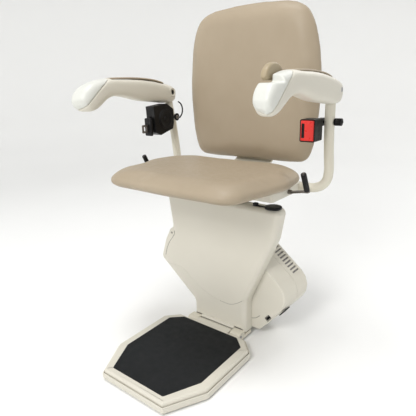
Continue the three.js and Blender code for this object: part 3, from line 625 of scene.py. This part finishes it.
def build_footrest():
    rim = eight_sided(122, 161, 106, -157, -196, -384, -485)
    profile = [(-19, 4), (-18, 3), (-16.5, 2), (-12, 1.5), (-8, 1.6), (-5, 2.2), (-3, 3.4),
               (-1.8, 5.2), (-1.2, 7.6), (-1.0, 9.5)]
    rings = [[at(p.x, p.y, z) for p in inset(rim, d)] for z, d in profile]
    mesh = loft("footrest_tread", rings)
    smooth(mesh, 50)
    piece("footrest_tread", mesh, "footrest", "cover_plastic", None, ["footrest_plate"])
    hinge_y, hinge_z = FOOT_HINGE
    half = HINGE_COVER_HALF
    skin = [(-168, -3.4), (-163, -2.0)]
    for step in range(15):
        turn = math.radians(112 - step * 12)
        skin.append((hinge_y + HINGE_COVER_RADIUS * math.cos(turn),
                     hinge_z + HINGE_COVER_RADIUS * math.sin(turn)))
    skin += [(-152, -19.6), (-160, -17.4), (-168, -17.4)]
    rings = [[at(x, hinge_y + (y - hinge_y) * k, hinge_z + (z - hinge_z) * k) for y, z in skin]
             for x, k in ((-half, 0.9), (-half + 1.5, 1), (half - 1.5, 1), (half, 0.9))]
    tab = loft("footrest_hinge_cover", rings)
    smooth(tab, 30)
    piece("footrest_hinge_cover", tab, "footrest", "cover_plastic")
    apron = [(-119.2, 2.4), (-124, 1.8), (-128.6, -1.2), (-129.6, -3.4), (-127.6, -5.4),
             (-124.4, -9), (-123.4, -22), (-119.2, -22)]
    mid_y, mid_z = APRON_MIDDLE
    rings = [[at(x, mid_y + (y - mid_y) * k, mid_z + (z - mid_z) * k) for y, z in apron]
             for x, k in ((-62, 0.9), (-60, 1), (60, 1), (62, 0.9))]
    mesh = loft("column_apron", rings)
    smooth(mesh, 30)
    piece("column_apron", mesh, "carriage", "cover_plastic")
    mat_rim = eight_sided(101, 135.5, 90.6, -167, -198, -375, -466.5)
    rings = [[at(p.x, p.y, z) for p in inset(mat_rim, d)]
             for z, d in ((-2.7, 0), (-1.2, 0), (-0.5, 0.4), (-0.1, 1.3), (0, 2.4))]
    mesh = loft("footrest_tread_mat", rings)
    smooth(mesh, 50)
    piece("footrest_tread_mat", mesh, "footrest", "mat_rubber", None, ["footrest_mat"])
    remade("safety_pan", 1.2, 3)
    remade("footrest_bracket", 1.6, 3)
    remade("footrest_pin", 0.6)


# ---------- seat and back ----------
# metres, except the pressure and the number of frames
CUSHION_VOXEL = 0.006
CUSHION_SHRINK = 0.003
CUSHION_MOVE = 0.012
CUSHION_PRESSURE = 4.0
CUSHION_FRAMES = 20


def pillow(name, line, levels, place):
    """A closed form from one outline: levels are (height, how far in) pairs."""
    rings = [[place(p, h) for p in inset(line, d)] for h, d in levels]
    return loft(name, rings)


def fitted(points, line, across, up, extra):
    """Scales x and one more axis of the points so that they span the outline again."""
    for axis, values, shift in ((0, [p.x for p in line], 0), (up, [p.y for p in line], across)):
        low, high = (min(values) - shift) / 1000 - extra, (max(values) - shift) / 1000 + extra
        here = points[:, axis]
        share = (here - here.min()) / (here.max() - here.min())
        points[:, axis] = low + share * (high - low)
    return points


def stuffed(mesh, name, flat):
    """Blows the form up as cloth, with each point's move capped; flat() keeps its outline."""
    made = bpy.data.objects.new(name + "_work", mesh)
    bpy.context.scene.collection.objects.link(made)
    remesh = made.modifiers.new("remesh", "REMESH")
    remesh.mode = "VOXEL"
    remesh.voxel_size = CUSHION_VOXEL
    bpy.context.view_layer.update()
    start = bpy.data.meshes.new_from_object(
        made.evaluated_get(bpy.context.evaluated_depsgraph_get())
    )
    bpy.data.objects.remove(made)
    work = bmesh.new()
    work.from_mesh(start)
    bmesh.ops.smooth_vert(work, verts=work.verts, factor=0.5, use_axis_x=True, use_axis_y=True,
                          use_axis_z=True)
    work.normal_update()
    for vertex in work.verts:
        vertex.co -= vertex.normal * CUSHION_SHRINK
    work.to_mesh(start)
    work.free()
    rest = np.array([v.co for v in start.vertices])
    made = bpy.data.objects.new(name + "_cloth", start)
    bpy.context.scene.collection.objects.link(made)
    cloth = made.modifiers.new("cloth", "CLOTH")
    settings = cloth.settings
    settings.quality = 6
    settings.mass = 0.3
    settings.tension_stiffness = 12
    settings.compression_stiffness = 12
    settings.shear_stiffness = 6
    settings.bending_stiffness = 1.2
    settings.use_pressure = True
    settings.uniform_pressure_force = CUSHION_PRESSURE
    settings.effector_weights.gravity = 0
    cloth.point_cache.frame_start = 1
    cloth.point_cache.frame_end = CUSHION_FRAMES
    for number in range(1, CUSHION_FRAMES + 1):
        bpy.context.scene.frame_set(number)
    done = bpy.data.meshes.new_from_object(
        made.evaluated_get(bpy.context.evaluated_depsgraph_get())
    )
    bpy.data.objects.remove(made)
    bpy.context.scene.frame_set(1)
    now = np.array([v.co for v in done.vertices])
    move = now - rest
    length = np.linalg.norm(move, axis=1, keepdims=True)
    move *= np.minimum(1.0, CUSHION_MOVE / np.maximum(length, 1e-9))
    now = flat(rest + move, rest)
    for vertex, co in zip(done.vertices, now):
        vertex.co = co
    return done


def finish_cushion(mesh, name, body, nodes):
    work = bmesh.new()
    work.from_mesh(mesh)
    for _ in range(6):
        bmesh.ops.smooth_vert(work, verts=work.verts, factor=0.5, use_axis_x=True,
                              use_axis_y=True, use_axis_z=True)
    work.to_mesh(mesh)
    work.free()
    smooth(mesh, 180)
    made = piece(name, mesh, body, "upholstery", None, nodes)
    finer = made.modifiers.new("finer", "SUBSURF")
    finer.levels = 1
    finer.render_levels = 1


def seat_line():
    half = [(224, 14, 96), (246, -130, 0), (206, -326, 58)]
    left = [(SEAT_MIDDLE_X - x, y, r) for x, y, r in half]
    right = [(SEAT_MIDDLE_X + x, y, r) for x, y, r in reversed(half)]
    return resampled(outline([*left, (SEAT_MIDDLE_X, -334, 0), *right]), 18)


def back_line():
    half = [(0, 486), (150, 486), (176, 490), (192, 503), (206, 540), (215, 600), (220, 680),
            (217, 750), (208, 810), (194, 858), (173, 891), (138, 909), (80, 917), (0, 920)]
    right = [Vector((p.x, p.y)) for p in curve_through([(*p, 0) for p in half], 3)]
    left = [Vector((-p.x, p.y)) for p in reversed(right[1:-1])]
    return resampled(right + left, 18)


def build_seat():
    line = seat_line()
    levels = [(SEAT_BOTTOM, 30), (440.5, 24), (446, 13), (450.5, 5), (455, 1), (461, 0),
              (468, 0.5), (474, 4), (479, 11), (482, 23), (484, 44)]
    form = pillow("seat_form", line, levels, lambda p, z: at(p.x, p.y, z))
    floor_z = at(0, 0, SEAT_BOTTOM + 0.3).z

    def sit_flat(points, rest):
        points[:, :2] = rest[:, :2] + 0.3 * (points[:, :2] - rest[:, :2])
        under = rest[:, 2] < at(0, 0, 463).z
        points[under, 2] = rest[under, 2]
        points = fitted(points, line, DATUM_Y, 1, CUSHION_SHRINK)
        points[:, 2] = np.maximum(points[:, 2], floor_z)
        return points

    seat = stuffed(form, "seat", sit_flat)
    finish_cushion(seat, "seat_cushion_soft", "seat_pan", ["seat_cushion"])


def build_back():
    line = back_line()
    levels = [(79, 5), (74, 1), (68, 0), (60, 1), (53, 6), (48, 14), (45, 26), (43.5, 42)]
    form = pillow("back_form", line, levels, lambda p, y: at(p.x, y, p.y))
    rear_y = at(0, BACK_REAR - 0.2, 0).y

    def lie_flat(points, rest):
        points[:, 0] = rest[:, 0] + 0.25 * (points[:, 0] - rest[:, 0])
        points[:, 2] = rest[:, 2] + 0.25 * (points[:, 2] - rest[:, 2])
        points = fitted(points, line, DATUM_Z, 2, CUSHION_SHRINK)
        points[:, 1] = np.minimum(points[:, 1], rear_y)
        return points

    back = stuffed(form, "back", lie_flat)
    finish_cushion(back, "back_cushion_soft", "seat", ["back_cushion"])
    board = [[at(p.x, y, p.y) for p in inset(line, d)]
             for y, d in ((80.4, 13), (83, 11.5), (86, 13), (88, 17), (88.6, 25))]
    mesh = loft("back_board_shell", board)
    smooth(mesh)
    piece("back_board_shell", mesh, "seat", "cover_plastic", None, ["back_board"])


def build_seat_frame():
    for node in ("seat_base", "back_bracket"):
        remade(node, 2.0, 3)
    for node in ("seat_board", "seat_hinge_rod", "swivel_hub", "swivel_bearing", "seat_post",
                 "latch_plate", "latch_pin"):
        remade(node, 0.8)
    disc = turned("disc", [(0.2, 19), (0.2, 22.4), (3.4, 23), (5.6, 22.2), (6.6, 19.5), (6.8, 4)],
                  at(178, -103, 388.2), (0, 0, 1), 48)
    smooth(disc)
    piece("swivel_stop_disc", disc, "carriage", "black_plastic", None, ["swivel_pads"])
    stub = slab("stub", (119, -111, 388.3), (131, -99, 397))
    smooth(stub)
    bevelled(piece("swivel_stop_block", stub, "carriage", "black_plastic"), 1.6, 3)
    link = slab("link", (130, -108.5, 388.3), (158, -101.5, 391))
    smooth(link)
    bevelled(piece("swivel_stop_link", link, "carriage", "black_plastic"), 0.8)
    for side, name in ((-1, "left"), (1, "right")):
        path = [(195.4, 18, 426), (215, 18, 426), (238, 19, 427), (258, 22, 436), (269, 25, 452),
                (272, 27, 474), (272, 20, 530), (273, 12, 590), (276, 4, 640),
                (TUBE_EYE_X, 1, 665), (TUBE_EYE_X, 0.3, 684)]
        line = [at(side * p.x, p.y, p.z) for p in curve_through(path, 6)]
        mesh = swept("arm_tube_" + name, line, TUBE_RADIUS / 1000 - 0.0001, 28)
        smooth(mesh, 60)
        piece("arm_tube_" + name + "_round", mesh, "seat", "tube_paint", None,
              ["arm_tube_" + name])
        eye = turned("eye", [(-13.6, 11.6), (-13.0, 12.8), (13.0, 12.8), (13.6, 11.6)],
                     at(side * TUBE_EYE_X, 0, ARM_PIVOT_Z), (1, 0, 0))
        smooth(eye)
        piece("arm_eye_" + name, eye, "seat", "tube_paint")
        remade("arm_pin_" + name, 0.6)


# ---------- arms ----------
# along the arm: the top and bottom points (y, z), then half the width, and how far forward
# the outer side leads the inner one
ARM_PROFILE = [
    ((22, 699), (18, 658)), ((8, 706), (4, 653)), ((-20, 713), (-22, 653)),
    ((-60, 721), (-60, 657)), ((-130, 729), (-130, 665)), ((-200, 731), (-195, 679)),
    ((-245, 732), (-232, 682)),
    ((-285, 726), (-258, 675)), ((-320, 714), (-280, 662)), ((-341, 697), (-301, 650)),
    ((-350, 678), (-321, 645)), ((-348, 662), (-334, 647)),
]
ARM_HALF_WIDTHS = [20, 24, 26, 26, 26, 26, 26, 26, 27, 27, 23, 13]
ARM_SKEW = [0, 0, 0, 0, 0, 0, 0, 2, 5, 7, 7, 6]
NOTCH_FLOOR = 708
PADDLE_Y = -272


def arm_solid(centre, side):
    """The arm's smooth body, from a spline through the profile's stations."""
    upper = curve_through([(y, z, 0) for (y, z), _ in ARM_PROFILE], 4)
    lower = curve_through([(y, z, 0) for _, (y, z) in ARM_PROFILE], 4)
    widths = curve_through(
        [(w, i, k) for i, (w, k) in enumerate(zip(ARM_HALF_WIDTHS, ARM_SKEW))], 4)
    rings = []
    sides = 40
    for top, bottom, width in zip(upper, lower, widths):
        ring = []
        for k in range(sides):
            angle = 2 * math.pi * (k + 0.5) / sides
            c, s = math.cos(angle), math.sin(angle)
            across = math.copysign(abs(c) ** 0.6, c) * width.x
            up = (math.copysign(abs(s) ** 0.6, s) + 1) / 2
            here = bottom.lerp(top, up)
            forward = width.z * side * across / width.x
            ring.append(at(centre + across, here.x - forward, here.y))
        rings.append(ring)
    return loft("arm", rings)


def fascia_block(centre, gap):
    """A block that fills the space ahead of the joint between arm and nose."""
    line = [(-246 - gap, 770), (-252 - gap, 728), (-272 - gap, 714), (-300 - gap, 692),
            (-330 - gap, 664), (-356 - gap, 630), (-430, 630), (-430, 770)]
    smooth_line = curve_through([(*p, 0) for p in line[1:6]], 5)
    loop = [line[0], *[(p.x, p.y) for p in smooth_line], *line[6:]]
    return loft("fascia_block",
                [[at(x, y, z) for y, z in loop] for x in (centre - 70, centre + 70)])


def softened(mesh, voxel, rounds):
    """The solid with every edge rounded off: voxel remesh and smoothing."""
    made = bpy.data.objects.new("soft_work", mesh)
    bpy.context.scene.collection.objects.link(made)
    remesh = made.modifiers.new("remesh", "REMESH")
    remesh.mode = "VOXEL"
    remesh.voxel_size = voxel
    ease = made.modifiers.new("ease", "SMOOTH")
    ease.factor = 0.5
    ease.iterations = rounds
    bpy.context.view_layer.update()
    done = bpy.data.meshes.new_from_object(
        made.evaluated_get(bpy.context.evaluated_depsgraph_get())
    )
    bpy.data.objects.remove(made)
    smooth(done, 180)
    return done


def build_arm(side, name):
    centre = side * ARM_X
    body = arm_solid(centre, side)
    slot_x = side * TUBE_EYE_X
    body = sliced(body, slab("slot", (slot_x - 14, -24, 600), (slot_x + 14, 60, 702)),
                  "DIFFERENCE")
    pad_x = centre - side * 3
    pad_front = PADDLE_Y + 46 if side > 0 else -243
    pad_top = [(pad_front, 733.3), (-140, 732.5), (-70, 726), (-32, 717)]
    bed_line = [(pad_top[0][0] - 0.6, pad_top[0][1]), *pad_top[1:3], (pad_top[3][0] + 0.6, 717)]
    bed = loft("bed", [[at(pad_x + x, y, z + dz) for x, dz in
                        ((-18.5, -5.4), (18.5, -5.4), (18.5, 30), (-18.5, 30))]
                       for y, z in bed_line])
    body = sliced(body, bed, "DIFFERENCE")
    if side > 0:
        body = sliced(body, slab("notch", (centre - 60, -430, NOTCH_FLOOR),
                                 (centre + 60, -296, 770)), "DIFFERENCE")
        body = sliced(body, slab("notch", (centre - 60, -300, NOTCH_FLOOR),
                                 (centre - 4, PADDLE_Y + 41, 770)), "DIFFERENCE")
    rear = sliced(body.copy(), fascia_block(centre, 0), "DIFFERENCE")
    front = sliced(body, fascia_block(centre, 0.5), "INTERSECT")
    rear = softened(rear, 0.002, 7)
    front = softened(front, 0.0018, 7)
    piece(f"arm_{name}_shell", rear, "arm_" + name[0], "cover_plastic", None, ["arm_" + name])
    piece(f"arm_{name}_nose", front, "arm_" + name[0], "fascia_plastic", None,
          ["arm_fascia_" + name])
    build_arm_pad(side, name, pad_x, pad_top)
    inner = at(centre - side * 23, 0, ARM_PIVOT_Z)
    ring = turned("ring", [(0, 12), (1.6, 13.8), (2.8, 13.4), (2.8, 11.2), (0.8, 10.2), (0.8, 0.5)],
                  inner, (-side, 0, 0), 36)
    smooth(ring, 35)
    piece(f"arm_pivot_ring_{name}", ring, "arm_" + name[0], "cover_plastic")
    hub = turned("hub", [(0.8, 7.8), (1.6, 7.6), (2.0, 6.4), (2.0, 0.5)],
                 inner, (-side, 0, 0), 28)
    smooth(hub, 35)
    piece(f"arm_pivot_hub_{name}", hub, "arm_" + name[0], "zinc")


def build_arm_pad(side, name, pad_x, pad_top):
    line = curve_through([(y, z, 0) for y, z in pad_top], 8)
    rings = []
    for i, p in enumerate(line):
        share = i / (len(line) - 1)
        ease = min(1.0, min(share, 1 - share) * 14) ** 0.5
        section = []
        for k in range(24):
            angle = 2 * math.pi * k / 24
            c, s = math.cos(angle), math.sin(angle)
            x = math.copysign(abs(c) ** 0.45, c) * (14.5 + 3.3 * ease)
            rise = 3.2 * abs(s) ** 0.7 * (0.4 + 0.6 * ease) if s > 0 else -2.2 * abs(s) ** 0.4
            section.append(at(pad_x + x, p.x, p.y - 2.6 + rise))
        rings.append(section)
    mesh = loft("arm_pad", rings)
    smooth(mesh, 70)
    made = piece(f"arm_pad_{name}_soft", mesh, "arm_" + name[0], "upholstery", None,
                 ["arm_pad_" + name])


def build_paddle():
    mesh = cleaned("control_paddle")
    mesh = softened(mesh, 0.0012, 4)
    piece("control_paddle_finished", mesh, "paddle", "upholstery", moulded(
        "tan_moulding", (0.66, 0.60, 0.49), 0.42, (0.62, 0.56, 0.45)), ["control_paddle"])


# ---------- levers ----------
def build_levers():
    for side, name in ((-1, "left"), (1, "right")):
        remade("lever_" + name, 0.7)
        foot, top = at(side * LEVER_X, -104, 447), at(side * LEVER_X, -130, 497)
        ahead = (top - foot).normalized()
        length = (top - foot).length * 1000
        profile = [(3, 5.0), (3, 6.6), (5, 7.2), (length - 4, 7.0), (length - 0.6, 6.4),
                   (length, 5.2), (length, 2.6)]
        mesh = turned("grip", profile, foot, ahead, 24)
        smooth(mesh)
        piece(f"lever_grip_{name}", mesh, "lever_" + name[0], "black_plastic")
        tip = turned("tip", [(length - 1, 2.4), (length + 0.4, 2.4), (length + 0.9, 1.6),
                             (length + 0.9, 0.2)], foot, ahead, 20)
        smooth(tip)
        piece(f"lever_tip_{name}", tip, "lever_" + name[0], "zinc")


# ---------- belt ----------
def build_belt():
    remade("belt_retractor", 3.0, 4)
    grip = loft("grip", [[at(x, y, z) for x, z in
                          ((-279.4, 556.6), (-250.6, 556.6), (-250.6, 611.4), (-279.4, 611.4))]
                         for y in (-111.6, -101.4)])
    smooth(grip)
    bevelled(piece("tongue_grip", grip, "tongue", "black_plastic", None, ["belt_tongue"]), 3.6, 4)
    blade = outline([(-111, 567, 0), (-136, 567, 3), (-136, 592, 3), (-111, 592, 0)], 4)
    window = outline([(-118, 573, 1.5), (-129, 573, 1.5), (-129, 586, 1.5), (-118, 586, 1.5)], 4)
    plate = loft("blade", [[at(x, p.x, p.y) for p in blade] for x in (-266.2, -263.8)])
    hole = loft("window", [[at(x, p.x, p.y) for p in window] for x in (-275, -255)])
    plate = sliced(plate, hole, "DIFFERENCE")
    smooth(plate, 30)
    bevelled(piece("tongue_blade", plate, "tongue", "zinc"), 0.5)
    recess = slab("recess", (228.4, -90, 564.3), (264, -52, 615.7))
    case = sliced(cleaned("belt_buckle"), recess, "DIFFERENCE")
    smooth(case)
    bevelled(piece("belt_buckle_finished", case, "seat", "black_plastic", None, ["belt_buckle"]),
             1.0, 3)
    remade("buckle_button", 1.0, 3)
    plate = slab("face", (229.2, -64.2, 565.1), (263.2, -57.5, 614.9))
    smooth(plate)
    bevelled(piece("button_face", plate, "button", "red_plastic"), 1.6, 3)
    mouth = slab("mouth", (231.5, -65, 572), (239.5, -62, 608))
    smooth(mouth)
    bevelled(piece("buckle_mouth", mouth, "button", "black_plastic"), 1.2, 3)
    remade("retractor_bolt", 1.0, 3)
    remade("buckle_bolt", 0.8)
    y, z = BELT_BOLT
    knob = turned("knob", [(0, 7.5), (0.6, 9.2), (9, 9.6), (16, 8.2), (20, 5.6), (22, 2.8),
                           (22.4, 0.4)], at(286.6, y, z), (1, 0, 0))
    smooth(knob)
    piece("belt_knob", knob, "seat", "black_plastic")
    drum = turned("drum", [(0, 24), (0, 27), (1.6, 26.5), (2.0, 24), (0.8, 22.5), (0.8, 9),
                           (2.6, 8), (3.2, 6), (3.2, 0.5)], at(-245.2, -48, 606), (1, 0, 0), 40)
    smooth(drum)
    piece("retractor_drum", drum, "seat", "black_plastic")
    dome = turned("dome", [(0, 12), (1.2, 12), (1.6, 11.2)], at(-251, y, z), (1, 0, 0))
    smooth(dome)
    piece("bolt_washer", dome, "seat", "black_plastic")
    crown = turned("crown", [(1.2, 6.5), (3.0, 6.2), (4.2, 4.5), (4.6, 0.5)],
                   at(-251, y, z), (1, 0, 0))
    smooth(crown)
    piece("bolt_crown", crown, "seat", "zinc")
    web = [at(*p) for p in ((-265, -104, 606), (-265, -97, 606.5), (-265, -88.5, 607))]
    rings = [[p + Vector((dx, 0, dz)) / 1000
              for dx, dz in ((-1.4, -4), (1.4, -4), (1.4, 4), (-1.4, 4))] for p in web]
    mesh = loft("web", rings)
    piece("belt_web", mesh, "tongue", "black_plastic", WEBBING)


def build_cable():
    route = [(-248, 17, 656), (-245, 26, 648), (-244, 32, 632), (-245, 29, 615), (-248, 20, 603)]
    path = [at(*p) for p in curve_through(route, 6)]
    data = bpy.data.curves.new("arm_cable_lead", "CURVE")
    data.dimensions = "3D"
    data.bevel_depth = 0.0022
    data.bevel_resolution = 4
    data.use_fill_caps = True
    spline = data.splines.new("POLY")
    spline.points.add(len(path) - 1)
    for point, p in zip(spline.points, path):
        point.co = (*p, 1)
    lead = bpy.data.objects.new("arm_cable_lead", data)
    bpy.context.scene.collection.objects.link(lead)
    data.materials.append(LOOKS["black_plastic"].material)
    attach(lead, "seat")
    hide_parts("arm_cable")


# ---------- what stays CAD ----------
def build_internals():
    for node in ("gearbox_case", "drive_motor", "worm_shaft", "worm_wheel", "drive_pinion",
                 "battery_upper", "battery_lower", "control_board", "chassis_plate"):
        mesh = frame["nodes"][node].data
        mesh.materials.clear()
        mesh.materials.append(LOOKS[NODE_SLOT[node]].material)


# ---------- studio ----------
FLOOR_SIDES = 64
FLOOR_GAP = 0.002


def build_studio():
    low, high = CAD_BOX
    middle = (low + high) / 2
    # a bowl's radius and height, from the middle of the floor outwards
    profile = [(0.001, 0), (2.6, 0), (3.0, 0.04), (3.35, 0.18), (3.6, 0.45), (3.72, 0.9),
               (3.75, 3.2)]
    angles = [2 * math.pi * k / FLOOR_SIDES for k in range(FLOOR_SIDES)]
    rings = [[Vector((middle.x + r * math.cos(a), middle.y + r * math.sin(a),
                      low.z - FLOOR_GAP + h)) for a in angles] for r, h in profile]
    bowl = loft("floor", rings, closed_ends=False)
    smooth(bowl, 180)
    floor = bpy.data.objects.new("floor", bowl)
    bpy.context.scene.collection.objects.link(floor)
    look = Look("studio_floor", (0.97, 0.97, 0.965), 0.9)
    look.tint(look.noise(2.0), (0.96, 0.96, 0.955), 0.5)
    floor.data.materials.append(look.material)
    world = bpy.data.worlds.new("studio")
    bpy.context.scene.world = world
    world.use_nodes = True
    background = world.node_tree.nodes["Background"]
    background.inputs["Color"].default_value = (1, 1, 1, 1)
    background.inputs["Strength"].default_value = 0.4
    for name, place, size, power in (
        ("key", (-0.1, -0.35, 2.7), 1.0, 34),
        ("fill", (0.35, -2.2, 1.6), 1.0, 34),
        ("left", (-2.6, -1.4, 0.5), 1.8, 7),
        ("rear", (0.5, 2.6, 2.2), 2.4, 26),
    ):
        data = bpy.data.lights.new(name, "AREA")
        data.shape = "DISK"
        data.size = size
        data.energy = power
        lamp = bpy.data.objects.new(name, data)
        bpy.context.scene.collection.objects.link(lamp)
        lamp.location = middle + Vector(place)
        lamp.rotation_euler = (-Vector(place)).to_track_quat("-Z", "Y").to_euler()
    bpy.context.scene.view_settings.view_transform = "Standard"


build_covers()
build_housing()
build_footrest()
build_seat_frame()
build_seat()
build_back()
build_arm(-1, "left")
build_arm(1, "right")
build_paddle()
build_levers()
build_belt()
build_cable()
build_internals()
build_studio()
